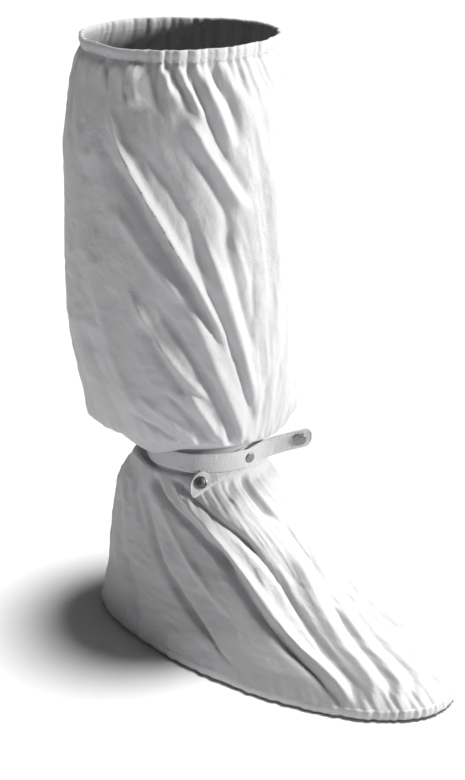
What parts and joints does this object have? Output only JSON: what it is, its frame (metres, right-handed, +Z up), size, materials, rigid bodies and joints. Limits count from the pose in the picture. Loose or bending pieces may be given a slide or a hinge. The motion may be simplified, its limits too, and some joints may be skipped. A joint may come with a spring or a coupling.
{
  "type": "boot cover",
  "caption": "Tall white cloth boot cover with a gathered elastic top, a soft sole and a snap strap round the ankle, in its worn form.",
  "frame": {"origin": "on the floor, under the middle of the foot's length and width", "axes": "+X towards the toe, +Y towards the side without the hanging strap end, +Z up along the leg"},
  "size_m": [0.3241, 0.1756, 0.457],
  "materials": {
    "nonwoven_cloth": "white nonwoven cloth, soft sheen",
    "sole_sheet": "white coated cloth, slightly rough",
    "hem_cloth": "white nonwoven cloth folded over elastic",
    "strap_cloth": "white cloth tape",
    "snap_metal": "dark nickel-plated press studs"
  },
  "bodies": {
    "root": {"boot_body": "nonwoven_cloth", "sole": "sole_sheet", "top_hem": "hem_cloth", "ankle_strap": "strap_cloth", "low_tail_snap": "snap_metal", "low_tail_socket": "snap_metal", "high_tail_snap": "snap_metal", "high_tail_socket": "snap_metal", "crossing_snap": "snap_metal"}
  },
  "joints": []
}
